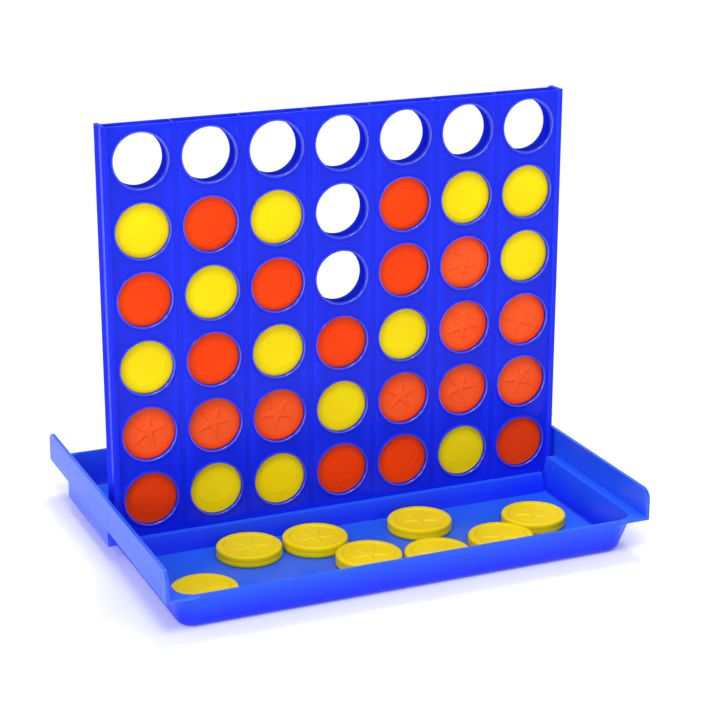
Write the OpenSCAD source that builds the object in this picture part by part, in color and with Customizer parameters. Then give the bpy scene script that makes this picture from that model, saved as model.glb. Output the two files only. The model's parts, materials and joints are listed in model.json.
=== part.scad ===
// Four-in-a-row tabletop game: an upright board of seven columns, made of two panels with
// round windows, that stands on the ledge of a shallow storage tray, with its discs.
// Millimetres. +X runs along the board, +Y to its back, +Z up.
// The origin is on the table, below the middle of the tray.

/* [Grid] */
// Distance between two columns
col_pitch = 35; // [35:0.1:36]
// Distance between two rows of windows
row_pitch = 35; // [34.8:0.1:35.2]
// Diameter of the windows
window_d = 27.4; // [24:0.2:28]

/* [Discs] */
// Diameter of a disc
disc_d = 33.8; // [33.4:0.1:33.8]
// Thickness of a disc over its rim
disc_t = 6; // [5:0.1:6.2]
// Width of the raised rim
disc_rim_w = 3.6; // [2:0.1:6]
// Depth of the face below the rim, on both sides
disc_recess = 0.8; // [0.3:0.1:1.5]
// Chamfer around the rim
disc_chamfer = 0.7; // [0.3:0.1:1]

/* [Board] */
// Free space between the two panels
channel = 7; // [6.8:0.1:7.6]
// Thickness of each panel
panel_t = 1.5; // [1.2:0.1:2.4]
// Width of the raised ring around each window
ring_w = 1.6; // [0.8:0.1:1.6]
// Height of the raised ring
ring_h = 0.7; // [0.3:0.1:0.8]
// Height of the panels
panel_h = 212.2; // [210:0.1:214]
// Height of the lowest row of windows above the panels' bottom edge
window_rise = 19.8; // [17:0.1:21]
// Thickness of the ribs that part the columns
rib_t = 0.6; // [0.4:0.1:0.6]
// Width of the raised border at each end of a panel
border_w = 3; // [2:0.1:3]
// Height of the raised border
border_h = 0.8; // [0.6:0.1:1.2]
// Thickness of the end rails
rail_t = 2.5; // [1.5:0.1:3]
// Height of the support feet on the end rails
foot_h = 6; // [3:0.5:10]

/* [Tray] */
// Width of the tray over its side lips
tray_w = 259; // [259:0.5:266]
// Depth of the tray from front to back
tray_d = 204; // [198:1:208]
// Height of the front and back walls
wall_h = 20.5; // [18:0.5:22]
// Height of the side lips' top edge
lip_top = 35; // [30:0.5:40]
// Radius of the lips' top corners
lip_corner = 5.5; // [2:0.5:8]
// Wall thickness
wall_t = 1.8; // [1.5:0.1:2]
// Floor thickness
floor_t = 2.4; // [2:0.1:3]
// Height of the ledge that the board stands on
ledge_h = 11.8; // [10:0.1:12]
// Height of the tongue on the ledge that locates the board
tongue_h = 4.3; // [2.5:0.1:4.6]
// Length of the side pockets that take the support feet
pocket_l = 70; // [50:1:80]

/* [Hidden] */
$fn = 64;
GAP = 0.3;          // running clearance between pieces that move apart
BLUE = [0.10, 0.17, 0.92];
RED = [0.94, 0.24, 0.06];
YELLOW = [0.95, 0.83, 0.07];

// The game in play: one string per column from left to right, from the bottom disc up.
GAME = ["rryry", "yrryr", "yryry", "ryr", "rryrr", "yrrry", "rrryy"];
COLS = len(GAME);
ROWS = 6;
LETTERS = "abcdefg";

// Discs lying in the tray: colour and the middle of each, the last one behind the board.
LOOSE = [
    ["y", [-99.5, -69]], ["y", [-61.5, -29]], ["y", [-26, -31]], ["y", [-9.5, -62.5]],
    ["y", [33, -31.5]], ["y", [24, -73]], ["y", [62.5, -67.5]], ["y", [91.5, -48.5]],
    ["r", [38, 46]],
];

// Board
channel_half = channel / 2;
panel_face = channel_half + panel_t;                  // panels' outer faces, from the middle
border_face = panel_face + border_h;
columns_half = (COLS - 1) / 2 * col_pitch + disc_d / 2 + GAP;  // inner face of the end rails
board_half = columns_half + rail_t;
panel_top = ledge_h + panel_h;
window_z0 = ledge_h + window_rise;
tongue_top = ledge_h + tongue_h;
rail_rise = 0.6;                                      // rails stand this much above the panels

// Tray
tray_half = tray_w / 2;
depth_half = tray_d / 2;
flange_w = 5.8;                                       // outward step below each side lip
side_slope = 4.3;                                     // how far the side walls lean in
end_slope = 8.6;                                      // how far the front and back walls lean in
edge_outer_r = 3;                                     // rounding below the walls, outside
edge_inner_r = 1.5;                                   // the same inside, around the floor
corner_base = 8;
corner_top = 11;
pocket_y0 = -border_face - GAP;
ledge_half = 8.5;                                     // half depth of the ledge's flat top
ledge_lean = 4;                                       // how far its faces spread down to the floor
corner_fn = 32;                                       // facets in a circle, for those corners
eps = 0.01;                                           // overlap where solids join

// Discs
stack_pitch = disc_d + GAP;
stack_z0 = tongue_top + GAP + disc_d / 2;

function disc_word(c) = c == "r" ? "red" : "yellow";
function column_name(c, r) = str(disc_word(GAME[c][r]), "_disc_", LETTERS[c], r + 1);
function loose_name(i) = str("loose_", disc_word(LOOSE[i][0]), "_disc_", i + 1);

// ---- Shapes that several pieces share ----

module rounded_rect(w, d, r) {
    square([w - 2 * r, d], center = true);
    square([w, d - 2 * r], center = true);
    for (sx = [-1, 1], sy = [-1, 1])
        translate([sx * (w / 2 - r), sy * (d / 2 - r)]) circle(r, $fn = corner_fn);
}

// A thin slice of the tray's basin at height z, drawn in from its outer surface by inset.
module basin_slice(z, inset) {
    up = z / wall_h;
    w = tray_w - 2 * (flange_w + side_slope * (1 - up) + inset);
    d = tray_d - 2 * (end_slope * (1 - up) + inset);
    r = corner_base + (corner_top - corner_base) * up - inset;
    translate([0, 0, z]) linear_extrude(eps) rounded_rect(w, d, r);
}

module disc_colour(c) { color(c == "r" ? RED : YELLOW) children(); }

// A disc lying flat, centred on the origin.
module disc() {
    r = disc_d / 2;
    h = disc_t / 2;
    half = [
        [0, h - disc_recess], [r - disc_rim_w, h - disc_recess], [r - disc_rim_w + disc_recess / 2, h],
        [r - disc_chamfer, h], [r, h - disc_chamfer],
    ];
    rotate_extrude() polygon(concat(
        half,
        [for (i = [len(half) - 1:-1:0]) [half[i][0], -half[i][1]]]
    ));
}

// ---- Tray ----

// The basin's space from z0 up to z1, rounded along its bottom edge.
module basin_space(z0, z1, inset, edge_r) {
    hull() {
        for (a = [0:30:90])
            basin_slice(z0 + edge_r * (1 - cos(a)), inset + edge_r * (1 - sin(a)));
        basin_slice(z1, inset);
    }
}

// Side lip: a long upright plate with rounded top corners, at the outer edge.
module side_lip(side) {
    z0 = wall_h - wall_t;
    h = lip_top - z0;
    x0 = side > 0 ? tray_half - wall_t : -tray_half;
    translate([x0, 0, z0]) rotate([90, 0, 90]) linear_extrude(wall_t) {
        translate([-depth_half, 0]) square([tray_d, h - lip_corner]);
        translate([-depth_half + lip_corner, 0]) square([tray_d - 2 * lip_corner, h]);
        for (end = [-1, 1])
            translate([end * (depth_half - lip_corner), h - lip_corner]) circle(lip_corner);
    }
}

// Flat step between the basin's side wall and the lip, wide enough to fill the basin's corners.
module side_flange(side) {
    w = flange_w + corner_top;
    translate([side > 0 ? tray_half - w : -tray_half, -depth_half, wall_h - wall_t])
        cube([w, tray_d, wall_t]);
}

// Side pocket for a support foot: the block it is cut into, and the hollow itself, which is
// open at the top and reaches through the side wall into the basin.
module pocket_outer(side) {
    w = flange_w + side_slope + wall_t;
    translate([side > 0 ? tray_half - w : -tray_half, pocket_y0 - wall_t, ledge_h - wall_t])
        cube([w, pocket_l + 2 * wall_t, wall_h - ledge_h + wall_t]);
}

module pocket_hollow(side) {
    w = flange_w + side_slope + 2 * wall_t;
    outer_x = tray_half - wall_t;
    translate([side > 0 ? outer_x - w : -outer_x, pocket_y0, ledge_h])
        cube([w, pocket_l, lip_top]);
}

// Cross-section of the ledge, h high, with its faces drawn in by inset.
module ledge_section(h, inset) {
    top = ledge_half - inset;
    foot = ledge_half + ledge_lean - inset;
    polygon([[-foot, 0], [foot, 0], [top, h], [-top, h]]);
}

module along_x(length) { rotate([90, 0, 90]) linear_extrude(length, center = true) children(); }

module tray() {
    ledge_len = tray_w - 2 * (flange_w + side_slope + wall_t / 2);
    ledge_end_wall = 2 * wall_t;
    color(BLUE) difference() {
        union() {
            difference() {
                union() {
                    basin_space(0, wall_h - eps, 0, edge_outer_r);
                    for (side = [-1, 1]) {
                        side_flange(side);
                        side_lip(side);
                        pocket_outer(side);
                    }
                }
                basin_space(floor_t, wall_h + wall_t, wall_t, edge_inner_r);
                for (side = [-1, 1]) pocket_hollow(side);
            }
            along_x(ledge_len) ledge_section(ledge_h, 0);
            along_x(2 * (columns_half - GAP))
                translate([-channel_half + GAP, ledge_h - eps])
                    square([channel - 2 * GAP, tongue_h + eps]);
        }
        // The ledge is moulded with an even wall, so it is open from below.
        along_x(ledge_len - 2 * ledge_end_wall)
            translate([0, -eps]) ledge_section(ledge_h - wall_t, wall_t);
    }
}

// ---- Board ----

// One panel with raised borders at its ends; side is -1 for the front and 1 for the back.
module panel(side) {
    color(BLUE) mirror([0, side < 0 ? 1 : 0, 0]) difference() {
        union() {
            translate([-columns_half, channel_half, ledge_h])
                cube([2 * columns_half, panel_t, panel_h]);
            for (x = [-columns_half, columns_half - border_w])
                translate([x, channel_half, ledge_h]) cube([border_w, panel_t + border_h, panel_h]);
            at_windows() translate([0, 0, channel_half])
                cylinder(d = window_d + 2 * ring_w, h = panel_t + ring_h);
        }
        at_windows() cylinder(d = window_d, h = 2 * border_face);
    }
}

// Places its children at each window, with their Z axis pointing to the back.
module at_windows() {
    for (c = [0:COLS - 1], r = [0:ROWS - 1])
        translate([(c - (COLS - 1) / 2) * col_pitch, 0, window_z0 + r * row_pitch])
            rotate([-90, 0, 0]) children();
}

// Rib i parts column i from the next one.
module divider_rib(i) {
    z0 = tongue_top + GAP;
    color(BLUE) translate([(i - COLS / 2) * col_pitch - rib_t / 2, -channel_half, z0])
        cube([rib_t, channel, panel_top - z0]);
}

// Rail that closes the board at one end, with the support foot that reaches back from it.
module end_rail(side) {
    color(BLUE) mirror([side < 0 ? 1 : 0, 0, 0]) {
        translate([columns_half, -border_face, ledge_h])
            cube([rail_t, 2 * border_face, panel_h + rail_rise]);
        translate([board_half, -border_face, ledge_h])
            cube([tray_half - wall_t - GAP - board_half, pocket_l - 2 * GAP, foot_h]);
    }
}

// ---- Discs ----

module column_disc(c, r) {
    disc_colour(GAME[c][r])
        translate([(c - (COLS - 1) / 2) * col_pitch, 0, stack_z0 + r * stack_pitch])
            rotate([90, 0, 0]) disc();
}

module loose_disc(i) {
    at = LOOSE[i][1];
    disc_colour(LOOSE[i][0]) translate([at[0], at[1], floor_t + disc_t / 2]) disc();
}

tray();
panel(-1);  // front_panel
panel(1);  // back_panel
end_rail(-1);  // left_end_rail
end_rail(1);  // right_end_rail
for (i = [1:COLS - 1])
    divider_rib(i);
for (c = [0:COLS - 1]) for (r = [0:len(GAME[c]) - 1])
    column_disc(c, r);
for (i = [0:len(LOOSE) - 1])
    loose_disc(i);
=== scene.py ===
"""Looks of a tabletop four-in-a-row game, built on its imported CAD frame.

The scene is in metres in the CAD frame: +X along the board, +Y to its back, +Z up, and the
origin on the table, below the middle of the tray. Sizes given in millimetres are times MM.
"""

import json
import math

import bmesh
import bpy
from mathutils import Euler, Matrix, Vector


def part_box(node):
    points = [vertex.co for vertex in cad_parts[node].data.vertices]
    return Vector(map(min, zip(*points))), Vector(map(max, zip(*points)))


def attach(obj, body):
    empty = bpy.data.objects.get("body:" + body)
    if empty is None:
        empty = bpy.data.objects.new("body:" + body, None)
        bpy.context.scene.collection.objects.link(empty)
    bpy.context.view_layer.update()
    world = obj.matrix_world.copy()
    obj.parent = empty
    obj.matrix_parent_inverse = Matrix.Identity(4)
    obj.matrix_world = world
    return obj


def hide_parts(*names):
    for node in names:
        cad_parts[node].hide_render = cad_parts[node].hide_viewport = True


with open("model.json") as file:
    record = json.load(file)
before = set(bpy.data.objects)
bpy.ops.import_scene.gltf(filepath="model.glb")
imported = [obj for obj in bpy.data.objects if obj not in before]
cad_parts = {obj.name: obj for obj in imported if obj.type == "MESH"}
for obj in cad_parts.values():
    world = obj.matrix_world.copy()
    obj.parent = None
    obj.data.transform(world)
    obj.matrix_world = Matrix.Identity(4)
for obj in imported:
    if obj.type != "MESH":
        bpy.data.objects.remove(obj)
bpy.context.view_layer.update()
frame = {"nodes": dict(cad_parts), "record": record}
record = frame["record"]

MM = 0.001
BODY_OF = {node: body for body, nodes in record["behaviour"]["bodies"].items() for node in nodes}
SLOT_OF = {part["node"]: part["material_slot"] for part in record["subparts"]}


def middle(node):
    """The middle of a CAD node's box."""
    low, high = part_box(node)
    return (low + high) / 2


def half_size(node):
    """Half the size of a CAD node's box."""
    low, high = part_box(node)
    return (high - low) / 2


# ---------------------------------------------------------------- camera, floor and light

def aim(thing, place, target):
    """Places a camera or a light so that it looks at the target."""
    bpy.context.scene.collection.objects.link(thing)
    thing.location = place
    thing.rotation_mode = "QUATERNION"
    thing.rotation_quaternion = (Vector(target) - Vector(place)).to_track_quat("-Z", "Y")


def make_camera():
    """A long lens that looks down on the game from its front left."""
    data = bpy.data.cameras.new("camera")
    data.sensor_width = 36
    data.lens = 100.3
    azimuth, elevation = math.radians(-23.08), math.radians(18.41)
    ahead = Vector((-math.sin(azimuth) * math.cos(elevation),
                    math.cos(azimuth) * math.cos(elevation),
                    -math.sin(elevation)))
    camera = bpy.data.objects.new("camera", data)
    place = Vector((-0.3867, -0.9246, 0.4219))
    aim(camera, place, place + ahead)
    bpy.context.scene.camera = camera


def area_light(name, place, width, height, power):
    """A softbox that points at the lower part of the board."""
    data = bpy.data.lights.new(name, "AREA")
    data.shape = "RECTANGLE"
    data.size, data.size_y = width, height
    data.energy = power
    aim(bpy.data.objects.new(name, data), place, (0, 0, 0.05))


def wide_light(name, place, spread, strength):
    """A light from a whole patch of the sky, this many degrees wide, as even far away."""
    data = bpy.data.lights.new(name, "SUN")
    data.angle = math.radians(spread)
    data.energy = strength
    aim(bpy.data.objects.new(name, data), place, (0, 0, 0))


def make_studio():
    scene = bpy.context.scene
    scene.view_settings.view_transform = "Standard"
    world = bpy.data.worlds.new("studio")
    world.use_nodes = True
    backdrop = world.node_tree.nodes["Background"]
    backdrop.inputs["Color"].default_value = (1, 1, 1, 1)
    backdrop.inputs["Strength"].default_value = 0.52
    scene.world = world
    wide_light("key", (-1.2, -0.9, 1.3), spread=20, strength=0.5)
    wide_light("back_top", (0.5, 0.8, 1.8), spread=20, strength=1.0)
    area_light("front_top", (-0.25, -0.9, 1.7), width=0.7, height=0.7, power=13)
    area_light("left_fill", (-1.3, -0.9, 0.35), width=1.0, height=0.5, power=5)


def make_floor():
    mesh = bpy.data.meshes.new("floor")
    half = 8.0
    mesh.from_pydata([(-half, -half, 0), (half, -half, 0), (half, half, 0), (-half, half, 0)],
                     [], [(0, 1, 2, 3)])
    floor = bpy.data.objects.new("floor", mesh)
    bpy.context.scene.collection.objects.link(floor)
    material = bpy.data.materials.new("white_sweep")
    material.use_nodes = True
    shader = material.node_tree.nodes["Principled BSDF"]
    shader.inputs["Base Color"].default_value = (0.95, 0.95, 0.95, 1)
    shader.inputs["Roughness"].default_value = 0.9
    shader.inputs["Specular IOR Level"].default_value = 0.1
    shader.inputs["Emission Color"].default_value = (1, 1, 1, 1)
    shader.inputs["Emission Strength"].default_value = 0.10
    mesh.materials.append(material)


# ---------------------------------------------------------------- materials

class Plastic:
    """A moulded plastic: a mottle between the tones colour and deep, painted shade in the creases,
    corners painted paler for wear and as a painted highlight, a hazy and finely scratched gloss
    and an orange-peel skin.

    frost is the strength of a sandblasted grain, soft the share of light that scatters inside,
    shade the depth of the painted shade in the creases, and the tone for painted light is painted
    on faces that look up, as painted light from above, and towards the top of the tray's walls,
    as a painted reflection.
    """

    def __init__(self, name, colour, deep, wear_and_highlight_tone, roughness, specular, frost=0, soft=0,
                 shade=0.35, painted_light_tone=None):
        self.material = bpy.data.materials.new(name)
        self.material.use_nodes = True
        self.nodes = self.material.node_tree.nodes
        self.links = self.material.node_tree.links
        self.place = self.nodes.new("ShaderNodeTexCoord").outputs["Object"]
        shader = self.nodes["Principled BSDF"]
        shader.inputs["IOR"].default_value = 1.5
        shader.inputs["Specular IOR Level"].default_value = specular
        if soft:
            shader.inputs["Subsurface Weight"].default_value = soft
            shader.inputs["Subsurface Radius"].default_value = (1.0, 0.6, 0.4)
            shader.inputs["Subsurface Scale"].default_value = 2 * MM

        mottle = self.rescaled(self.noise(30, 4), 0.35, 0.70, 0, 1)
        tone = self.blend(colour, deep, mottle)
        # Painted shade: inside corners are darkened towards a darker copy of the deep tone.
        dark = tuple(0.45 * part for part in deep)
        tone = self.blend(tone, dark, self.creases(shade))
        # Painted light: faces that look up are painted paler as light from above, and the tops of
        # the walls as a painted reflection.
        if painted_light_tone:
            tone = self.blend(tone, painted_light_tone, self.combined("MAXIMUM", self.painted_top_light(), self.rim()))
        # Corners that stick out are painted paler, for wear and as a painted highlight.
        self.links.new(self.blend(tone, wear_and_highlight_tone, self.edge_wear_and_highlight()), shader.inputs["Base Color"])

        haze = self.rescaled(self.noise(90, 3), 0.3, 0.7, roughness, roughness + 0.04)
        scratch = self.rescaled(self.noise(240, 2, stretch=(1, 0.05, 0.05)), 0.58, 0.72, 0, 0.03)
        self.links.new(self.combined("ADD", haze, scratch), shader.inputs["Roughness"])

        skin = self.bump(self.noise(400, 2), 0.12, 0.05 * MM)
        if frost:
            skin = self.bump(self.noise(3000, 2), frost, 0.06 * MM, skin)
        self.links.new(skin, shader.inputs["Normal"])

    def noise(self, scale, detail, stretch=None):
        texture = self.nodes.new("ShaderNodeTexNoise")
        texture.inputs["Scale"].default_value = scale
        texture.inputs["Detail"].default_value = detail
        source = self.place
        if stretch:
            mapping = self.nodes.new("ShaderNodeMapping")
            mapping.inputs["Scale"].default_value = stretch
            mapping.inputs["Rotation"].default_value = (0.3, 0.2, 0.6)
            self.links.new(source, mapping.inputs["Vector"])
            source = mapping.outputs["Vector"]
        self.links.new(source, texture.inputs["Vector"])
        return texture.outputs["Fac"]

    def rescaled(self, value, from_low, from_high, to_low, to_high):
        node = self.nodes.new("ShaderNodeMapRange")
        node.inputs["From Min"].default_value = from_low
        node.inputs["From Max"].default_value = from_high
        node.inputs["To Min"].default_value = to_low
        node.inputs["To Max"].default_value = to_high
        self.links.new(value, node.inputs["Value"])
        return node.outputs["Result"]

    def combined(self, operation, first, second):
        node = self.nodes.new("ShaderNodeMath")
        node.operation = operation
        self.links.new(first, node.inputs[0])
        self.links.new(second, node.inputs[1])
        return node.outputs["Value"]

    def blend(self, first, second, factor):
        """Mixes two colours; each is a tuple or the output of another node."""
        node = self.nodes.new("ShaderNodeMix")
        node.data_type = "RGBA"
        # The names of this node's sockets repeat for each data type; these are the colours'.
        factor_in, first_in, second_in = node.inputs[0], node.inputs[6], node.inputs[7]
        for socket, colour in ((first_in, first), (second_in, second)):
            if isinstance(colour, tuple):
                socket.default_value = (*colour, 1)
            else:
                self.links.new(colour, socket)
        self.links.new(factor, factor_in)
        return node.outputs[2]

    def painted_top_light(self):
        """Rises on faces that look up, which are painted paler as painted light from above."""
        geometry = self.nodes.new("ShaderNodeNewGeometry")
        split = self.nodes.new("ShaderNodeSeparateXYZ")
        self.links.new(geometry.outputs["Normal"], split.inputs["Vector"])
        return self.rescaled(split.outputs["Z"], 0.3, 1, 0, 0.85)

    def rim(self):
        """Rises from the tray's foot to the top of its walls, which are painted paler as a painted
        reflection.
        """
        split = self.nodes.new("ShaderNodeSeparateXYZ")
        self.links.new(self.place, split.inputs["Vector"])
        return self.rescaled(split.outputs["Z"], 5 * MM, 21 * MM, 0, 0.6)

    def creases(self, most):
        """Rises up to most in inside corners, which are darkened as painted shade."""
        geometry = self.nodes.new("ShaderNodeNewGeometry")
        return self.rescaled(geometry.outputs["Pointiness"], 0.492, 0.45, 0, most)

    def edge_wear_and_highlight(self):
        """Up to 0.6 on corners that stick out, broken up by a noise: paler corners, painted for
        wear and as a painted highlight.
        """
        geometry = self.nodes.new("ShaderNodeNewGeometry")
        corners = self.rescaled(geometry.outputs["Pointiness"], 0.54, 0.62, 0, 0.6)
        patches = self.rescaled(self.noise(120, 3), 0.40, 0.62, 0.35, 1)
        return self.combined("MULTIPLY", corners, patches)

    def bump(self, height, strength, distance, before=None):
        node = self.nodes.new("ShaderNodeBump")
        node.inputs["Strength"].default_value = strength
        node.inputs["Distance"].default_value = distance
        self.links.new(height, node.inputs["Height"])
        if before:
            self.links.new(before, node.inputs["Normal"])
        return node.outputs["Normal"]


BOARD_BLUE = Plastic("board_blue", (0.009, 0.028, 0.88), (0.007, 0.021, 0.79), (0.05, 0.10, 0.95),
                     0.20, specular=0.14).material
# Painted highlight: the rings' inner edges get a lighter blue than the board for the light they
# catch, besides a real high gloss.
BOARD_LIT_EDGE = Plastic("board_edge_painted_highlight", (0.03, 0.07, 0.90), (0.02, 0.05, 0.85),
                     (0.10, 0.16, 0.95), 0.12, specular=0.9).material
# Painted shade: the windows' walls get a much darker blue than the board for the shade inside
# them.
BOARD_SHADED_WALL = Plastic("board_window_wall_painted_shade", (0.004, 0.012, 0.34), (0.003, 0.009, 0.26),
                     (0.01, 0.03, 0.5), 0.25, specular=0.2).material
TRAY_BLUE = Plastic("tray_blue", (0.007, 0.032, 0.91), (0.006, 0.027, 0.87), (0.08, 0.17, 0.96),
                    0.24, specular=0.17, painted_light_tone=(0.026, 0.16, 0.93)).material
RED_GLOSS = Plastic("red_disc", (0.97, 0.062, 0.002), (0.93, 0.050, 0.002), (0.98, 0.13, 0.02),
                    0.36, specular=0.08, soft=0.1, shade=0.2).material
RED_FROST = Plastic("red_disc_star", (1.0, 0.108, 0.016), (0.97, 0.09, 0.012), (1.0, 0.18, 0.06),
                    0.50, specular=0.12, frost=0.5, soft=0.1, shade=0.9).material
YELLOW_GLOSS = Plastic("yellow_disc", (0.97, 0.76, 0.004), (0.91, 0.69, 0.003), (0.98, 0.82, 0.04),
                       0.36, specular=0.08, soft=0.1, shade=0.2).material
YELLOW_FROST = Plastic("yellow_disc_star", (0.97, 0.76, 0.008), (0.91, 0.69, 0.006),
                       (0.98, 0.83, 0.08), 0.48, specular=0.12, frost=0.3, soft=0.1).material


# ---------------------------------------------------------------- meshes

SHARP_OVER = math.radians(32)    # angle from which an edge is shaded as a sharp one
ROUNDED_OVER = math.radians(40)  # angle from which softened() rounds an edge off
SUNK_BORDER = 0.9 * MM           # border around a sunk face
WEAR_AND_HIGHLIGHT_GRID = 6 * MM               # step of the grid that large faces are cut along


class Skin:
    """A mesh made of vertices and faces, in metres, whose seams are welded at the end."""

    def __init__(self):
        self.points, self.faces, self.finishes = [], [], []

    def add(self, x, y, z):
        """Adds a vertex and returns its number."""
        self.points.append((x, y, z))
        return len(self.points) - 1

    def face(self, corners, finish=0):
        """Adds a face; finish is its place in the list of materials."""
        self.faces.append(corners)
        self.finishes.append(finish)

    def bridge(self, first, second, closed=True, finish=0):
        """Quads between two rows of as many points, round the whole ring if closed."""
        count = len(first)
        for i in range(count if closed else count - 1):
            j = (i + 1) % count
            self.face((first[i], first[j], second[j], second[i]), finish)

    def mesh(self, name, materials):
        mesh = bpy.data.meshes.new(name)
        mesh.from_pydata(self.points, [], self.faces)
        for material in materials:
            mesh.materials.append(material)
        for polygon, finish in zip(mesh.polygons, self.finishes):
            polygon.material_index = finish
        return polished(mesh)


def polished(mesh):
    """Welds a mesh, turns its faces outwards and shades it smooth up to the sharp edges."""
    work = bmesh.new()
    work.from_mesh(mesh)
    bmesh.ops.remove_doubles(work, verts=work.verts, dist=0.002 * MM)
    bmesh.ops.recalc_face_normals(work, faces=work.faces)
    for face in work.faces:
        face.smooth = True
    for edge in work.edges:
        edge.smooth = len(edge.link_faces) == 2 and edge.calc_face_angle(0) < SHARP_OVER
    work.to_mesh(mesh)
    work.free()
    return mesh


def add_piece(mesh, node):
    """Shows a mesh in place of a CAD node, and hides the node."""
    piece = bpy.data.objects.new(node + "_moulding", mesh)
    bpy.context.scene.collection.objects.link(piece)
    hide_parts(node)
    return piece


def cut_up(work):
    """Cuts large faces along an even grid, so that the paler corners, painted for wear and as a
    painted highlight, stay near them.
    """
    bmesh.ops.triangulate(work, faces=work.faces)
    for axis in range(3):
        normal = Vector([float(axis == i) for i in range(3)])
        spots = [vertex.co[axis] / WEAR_AND_HIGHLIGHT_GRID for vertex in work.verts]
        for i in range(math.ceil(min(spots)), math.floor(max(spots)) + 1):
            bmesh.ops.bisect_plane(work, geom=[*work.verts, *work.edges, *work.faces],
                                   plane_co=(i + 0.5) * WEAR_AND_HIGHLIGHT_GRID * normal, plane_no=normal)


def softened(node, material, width, segments, sunk=0):
    """The CAD node's own shape with all its corners rounded off. If sunk is set, its largest
    face away from the middle lies that much deeper inside a narrow border."""
    source = frame["nodes"][node]
    work = bmesh.new()
    work.from_mesh(source.data)
    work.transform(source.matrix_world)
    bmesh.ops.remove_doubles(work, verts=work.verts, dist=0.001 * MM)
    bmesh.ops.dissolve_limit(work, angle_limit=math.radians(0.5), verts=work.verts,
                             edges=work.edges)
    if sunk:
        outward = [f for f in work.faces if f.normal.x * f.calc_center_median().x > 0]
        largest = max(outward, key=lambda face: face.calc_area())
        bmesh.ops.inset_individual(work, faces=[largest], thickness=SUNK_BORDER, depth=-sunk)
    corners = [e for e in work.edges
               if len(e.link_faces) == 2 and e.calc_face_angle(0) > ROUNDED_OVER]
    bmesh.ops.bevel(work, geom=corners, offset=width, segments=segments, profile=0.5,
                    affect="EDGES", clamp_overlap=True)
    cut_up(work)
    mesh = bpy.data.meshes.new(node + "_moulding")
    work.to_mesh(mesh)
    work.free()
    mesh.materials.clear()
    mesh.materials.append(material)
    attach(add_piece(polished(mesh), node), BODY_OF[node])


# ---------------------------------------------------------------- board

COLUMNS, ROWS = 7, 6
PITCH = middle("divider_rib_2").x - middle("divider_rib_1").x    # of the columns and the rows
WINDOW_R = 13.7 * MM
WINDOW_CHAMFER = 0.25 * MM       # on the side of the discs
RING_W = 1.6 * MM                # raised ring around each window
RING_H = 0.7 * MM
PANEL_T = 1.5 * MM
LOWEST_WINDOW = 19.8 * MM        # middle of the lowest windows above the panels' bottom edge
SEAM_W = 3.2 * MM                # shallow seam between two columns
SEAM_SLOPE = 0.2 * MM
SEAM_DEPTH = 0.3 * MM
HALF_CELL = (PITCH - SEAM_W) / 2
BACK_DRAFT = 0.55                # slope at which the back panel's windows widen outwards
EDGE = 0.35 * MM                 # rounding of the panels' top and bottom edges
AROUND = 64                      # points around a window; a multiple of 8
EIGHTH = AROUND // 8

# Finishes of a panel: its faces, the polished inner edge of a ring, painted lighter as a painted
# highlight, and a window's wall, painted darker as painted shade.
PLAIN, POLISHED_AND_LIT, SHADED_WALL = range(3)

# Section of a ring from the panel's face to the window: how far out from the window's edge and
# how far up, as shares of the ring's width and height, and the finish of the way there.
RING_SECTION = [(1.00, 0.00, PLAIN), (0.98, 0.30, PLAIN), (0.92, 0.75, PLAIN),
                (0.82, 0.95, PLAIN), (0.70, 1.00, PLAIN), (0.50, 1.00, PLAIN),
                (0.34, 0.93, POLISHED_AND_LIT), (0.18, 0.70, POLISHED_AND_LIT), (0.07, 0.30, POLISHED_AND_LIT),
                (0.00, -0.30, SHADED_WALL)]


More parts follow.
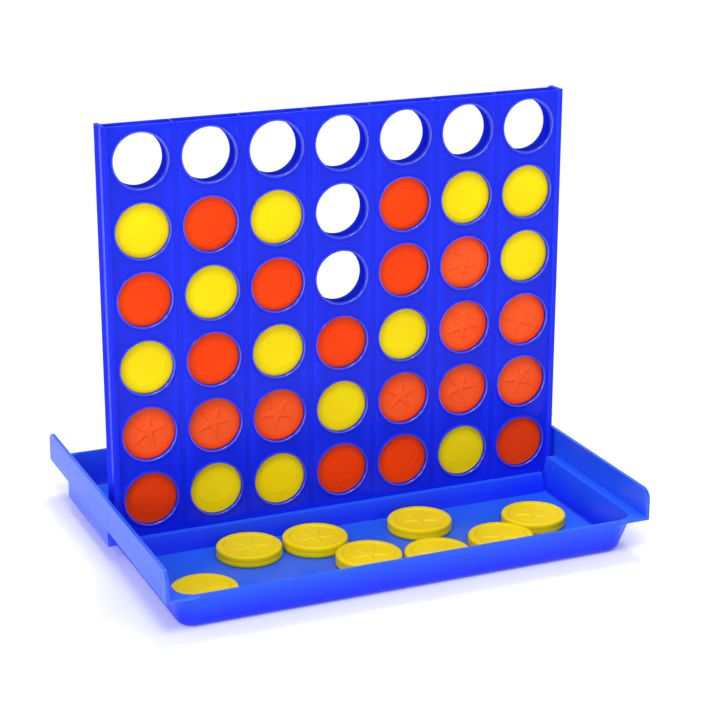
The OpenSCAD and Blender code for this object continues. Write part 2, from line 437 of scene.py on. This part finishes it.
class Panel(Skin):
    """The mesh of a window panel; side is -1 for the front one and 1 for the back one. A depth
    is the distance from the board's middle plane."""

    def __init__(self, node, side):
        super().__init__()
        self.side = side
        self.low, self.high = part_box(node)
        self.inner, self.outermost = sorted((abs(self.low.y), abs(self.high.y)))
        self.outer = self.inner + PANEL_T
        self.draft = BACK_DRAFT if side > 0 else 0

    def ring(self, x, z, radius, depth):
        """A circle around a window's middle."""
        turn = 2 * math.pi / AROUND
        return [self.add(x + radius * math.cos(turn * i), self.side * depth,
                         z + radius * math.sin(turn * i)) for i in range(AROUND)]

    def outline(self, x, z, up, down, depth):
        """The cell's rectangle, with its corners at odd multiples of EIGHTH."""
        points = []
        for i in range(AROUND):
            c, s = math.cos(2 * math.pi * i / AROUND), math.sin(2 * math.pi * i / AROUND)
            reach = max(abs(c), abs(s))
            points.append(self.add(x + HALF_CELL * c / reach, self.side * depth,
                                   z + (up if s > 0 else down) * s / reach))
        return points

    def moved(self, line, x, depth):
        """Another line of points at the same heights."""
        return [self.add(x, self.side * depth, self.points[p][2]) for p in line]

    def window(self, x, z, outside, inside):
        """Leads from the cell's outline on the outer face over the raised ring and through the
        window to its outline on the inner face."""
        last = outside
        for share, rise, finish in RING_SECTION:
            depth = self.outer + rise * RING_H
            widening = max(share * RING_W, self.draft * (depth - self.inner))
            ring = self.ring(x, z, WINDOW_R + widening, depth)
            self.bridge(last, ring, finish=finish)
            last = ring
        for widening, height in ((0, WINDOW_CHAMFER), (WINDOW_CHAMFER, 0)):
            ring = self.ring(x, z, WINDOW_R + widening, self.inner + height)
            self.bridge(last, ring, finish=SHADED_WALL)
            last = ring
        self.bridge(last, inside)

    def seam_section(self, start_x):
        """Places and depths across the seam on the right of a cell."""
        end_x = start_x + SEAM_W
        return [(start_x + SEAM_SLOPE, self.outer - SEAM_DEPTH),
                (end_x - SEAM_SLOPE, self.outer - SEAM_DEPTH), (end_x, self.outer)]

    def border_section(self, start_x, way):
        """Places and depths across the raised border, from its foot to the panel's end."""
        rise = self.outermost - self.outer
        end_x = way * self.high.x
        return [(start_x + way * 0.15 * MM, self.outer + 0.1 * rise),
                (start_x + way * 0.35 * MM, self.outer + 0.85 * rise),
                (start_x + way * 0.6 * MM, self.outermost),
                (end_x - way * 0.3 * MM, self.outermost),
                (end_x - way * 0.08 * MM, self.outermost - 0.08 * MM),
                (end_x, self.outermost - 0.3 * MM)]

    def strip(self, outside, inside, section, at_end):
        """Carries the outer face along a section and the inner face straight on beside it; at
        the panel's end it closes the gap between them."""
        for x, depth in section:
            outside_next = self.moved(outside, x, depth)
            inside_next = self.moved(inside, x, self.inner)
            self.bridge(outside, outside_next, closed=False)
            self.bridge(inside, inside_next, closed=False)
            outside, inside = outside_next, inside_next
        if at_end:
            self.bridge(outside, inside, closed=False)

    def cell(self, column, row):
        """A window, and the seam or border on its right. The first column has a border on its
        left as well."""
        x = (column - (COLUMNS - 1) / 2) * PITCH
        z = self.low.z + LOWEST_WINDOW + row * PITCH
        up = self.high.z - EDGE - z if row == ROWS - 1 else PITCH / 2
        down = z - self.low.z - EDGE if row == 0 else PITCH / 2
        outside = self.outline(x, z, up, down, self.outer)
        inside = self.outline(x, z, up, down, self.inner)
        self.window(x, z, outside, inside)

        right = range(-EIGHTH, EIGHTH + 1)
        at_end = column == COLUMNS - 1
        edge = x + HALF_CELL
        section = self.border_section(edge, 1) if at_end else self.seam_section(edge)
        self.strip([outside[i] for i in right], [inside[i] for i in right], section, at_end)
        if column == 0:
            left = range(5 * EIGHTH, 3 * EIGHTH - 1, -1)
            section = self.border_section(x - HALF_CELL, -1)
            self.strip([outside[i] for i in left], [inside[i] for i in left], section, True)


def make_panel(node, side):
    panel = Panel(node, side)
    for row in range(ROWS):
        for column in range(COLUMNS):
            panel.cell(column, row)
    mesh = panel.mesh(node + "_moulding", [BOARD_BLUE, BOARD_LIT_EDGE, BOARD_SHADED_WALL])
    close_edges(mesh, panel.inner, panel.low.z, panel.high.z)
    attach(add_piece(polished(mesh), node), BODY_OF[node])


def close_edges(mesh, inner, bottom, top):
    """Closes a panel's open top and bottom with rounded edges between its two faces."""
    work = bmesh.new()
    work.from_mesh(mesh)
    rim = [edge for edge in work.edges if len(edge.link_faces) == 1]

    def spot(vertex):
        """Where a vertex lies along the panel, and whether it is at the top."""
        return round(vertex.co.x, 5), vertex.co.z > (bottom + top) / 2

    def is_inside(vertex):
        return abs(vertex.co.y) < inner + 0.01 * MM

    across = {spot(v): v for edge in rim for v in edge.verts if is_inside(v)}
    chains = {}

    def chain(vertex):
        """The points of the rounded edge from a vertex on the outer face to the inner face."""
        key = spot(vertex)
        if key not in chains:
            x, y = vertex.co.x, vertex.co.y
            way = 1 if y > 0 else -1
            end, up = (top, 1) if key[1] else (bottom, -1)
            other = across[key]
            chains[key] = [vertex,
                           work.verts.new((x, y - way * 0.3 * EDGE, end - up * 0.3 * EDGE)),
                           work.verts.new((x, y - way * EDGE, end)),
                           work.verts.new((x, other.co.y + way * EDGE, end)),
                           other]
        return chains[key]

    for edge in rim:
        if not any(is_inside(v) for v in edge.verts):
            first, second = (chain(v) for v in edge.verts)
            for i in range(len(first) - 1):
                work.faces.new((first[i], second[i], second[i + 1], first[i + 1]))
    ends = [edge for edge in work.edges if len(edge.link_faces) == 1]
    bmesh.ops.holes_fill(work, edges=ends, sides=8)
    work.to_mesh(mesh)
    work.free()


def make_board():
    make_panel("front_panel", -1)
    make_panel("back_panel", 1)
    for node in frame["nodes"]:
        if node.endswith("_end_rail"):
            softened(node, BOARD_BLUE, width=0.3 * MM, segments=3, sunk=1.4 * MM)
        elif "rib" in node:
            softened(node, BOARD_BLUE, width=0.12 * MM, segments=1)


# ---------------------------------------------------------------- discs

# Sizes of a disc are in millimetres, and its heights are measured from its middle.
SPOKES = 80                      # points around a disc; a multiple of 10 for the star's corners
DISC_R = half_size("loose_red_disc_9").x / MM
DISC_H = half_size("loose_red_disc_9").z / MM    # half the disc's thickness
STAR_FACE = DISC_H - 0.8         # the face with the star, inside the rim
PLAIN_FACE = DISC_H - 0.12
STAR_R, STAR_NOTCH_R = 10.0, 3.0
STAR_CREST = 0.82                # where the star's bevel ends, as a share of its outline

# Half sections of the disc, as radius and height: the plain face with a gate mark and a thin
# ring, the rims around either face, and the outer wall down to the parting line.
PLAIN_SECTION = [(0.9, PLAIN_FACE - 0.03), (1.1, PLAIN_FACE + 0.04), (1.5, PLAIN_FACE + 0.04),
                 (1.7, PLAIN_FACE), (2.2, PLAIN_FACE), (9.1, PLAIN_FACE), (9.6, PLAIN_FACE),
                 (9.75, PLAIN_FACE + 0.05), (10.15, PLAIN_FACE + 0.05), (10.3, PLAIN_FACE),
                 (10.8, PLAIN_FACE), (14.7, PLAIN_FACE), (15.1, PLAIN_FACE), (15.3, DISC_H)]
STAR_RIM = [(13.0, STAR_FACE), (13.2, STAR_FACE + 0.04), (13.45, DISC_H - 0.35),
            (13.6, DISC_H - 0.07), (13.9, DISC_H)]
WALL_SECTION = [(DISC_R - 1.2, DISC_H), (DISC_R - 0.7, DISC_H - 0.09),
                (DISC_R - 0.3, DISC_H - 0.35), (DISC_R - 0.08, DISC_H - 0.7),
                (DISC_R, DISC_H - 1.1), (DISC_R, 0.25), (DISC_R - 0.04, 0.12)]


def star_radius(spoke):
    """Distance of the star's outline from the middle along a spoke; a tip lies on spoke 0."""
    step = math.pi / 5
    angle = 2 * math.pi * spoke / SPOKES % (2 * step)
    angle = min(angle, 2 * step - angle)
    tip = Vector((STAR_R, 0))
    notch = Vector((STAR_NOTCH_R * math.cos(step), STAR_NOTCH_R * math.sin(step)))
    along = notch - tip
    return tip.cross(along) / Vector((math.cos(angle), math.sin(angle))).cross(along)


GLOSSY, FROSTED = range(2)       # finishes of a disc


def disc_mesh(name, gloss, frosted):
    """A disc around Z with the star on top; its star face has the frosted finish."""
    skin = Skin()

    def ring(radius, height):
        points = []
        for i in range(SPOKES):
            angle = 2 * math.pi * i / SPOKES
            r = radius(i) if callable(radius) else radius
            points.append(skin.add(r * math.cos(angle) * MM, r * math.sin(angle) * MM,
                                   height * MM))
        return points

    def rings(sections, last, finish=GLOSSY):
        for radius, height in sections:
            following = ring(radius, height)
            skin.bridge(last, following, finish=finish)
            last = following
        return last

    def cap(height, first, finish):
        middle = skin.add(0, 0, height * MM)
        for i in range(SPOKES):
            skin.face((middle, first[i], first[(i + 1) % SPOKES]), finish)

    crest = ring(lambda i: STAR_CREST * star_radius(i), STAR_FACE + 0.5)
    cap(STAR_FACE + 0.74, crest, FROSTED)
    around_star = [(lambda i, gap=gap: star_radius(i) + gap, STAR_FACE) for gap in (0, 0.25, 0.7)]
    face = rings(around_star + [(11.8, STAR_FACE), STAR_RIM[0]], crest, FROSTED)
    upper_wall = rings(STAR_RIM[1:] + WALL_SECTION, face)

    below = [(radius, -height) for radius, height in PLAIN_SECTION + WALL_SECTION]
    first = ring(*below[0])
    cap(below[0][1], first, GLOSSY)
    skin.bridge(rings(below[1:], first), upper_wall)
    return skin.mesh(name, [gloss, frosted])


# Discs in the board whose star side faces the front; the loose ones lie star side up.
STAR_FRONT = {"a2", "b2", "c2", "e2", "f2", "g2", "f3", "g3", "f4"}
GOLDEN_ANGLE = 137.5             # turns each disc another way


def make_discs():
    meshes = {"red_disc": disc_mesh("red_disc", RED_GLOSS, RED_FROST),
              "yellow_disc": disc_mesh("yellow_disc", YELLOW_GLOSS, YELLOW_FROST)}
    for count, node in enumerate(sorted(n for n in SLOT_OF if SLOT_OF[n] in meshes)):
        tilt = 0
        if not node.startswith("loose"):
            tilt = math.pi / 2 if node.rsplit("_", 1)[-1] in STAR_FRONT else -math.pi / 2
        spin = math.radians(count * GOLDEN_ANGLE % 360)
        disc = add_piece(meshes[SLOT_OF[node]], node)
        disc.location = middle(node)
        disc.rotation_euler = (Euler((tilt, 0, 0)).to_matrix()
                               @ Euler((0, 0, spin)).to_matrix()).to_euler()
        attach(disc, BODY_OF[node])


# ---------------------------------------------------------------- scene

make_camera()
make_studio()
make_floor()
softened("tray", TRAY_BLUE, width=0.45 * MM, segments=3)
make_board()
make_discs()
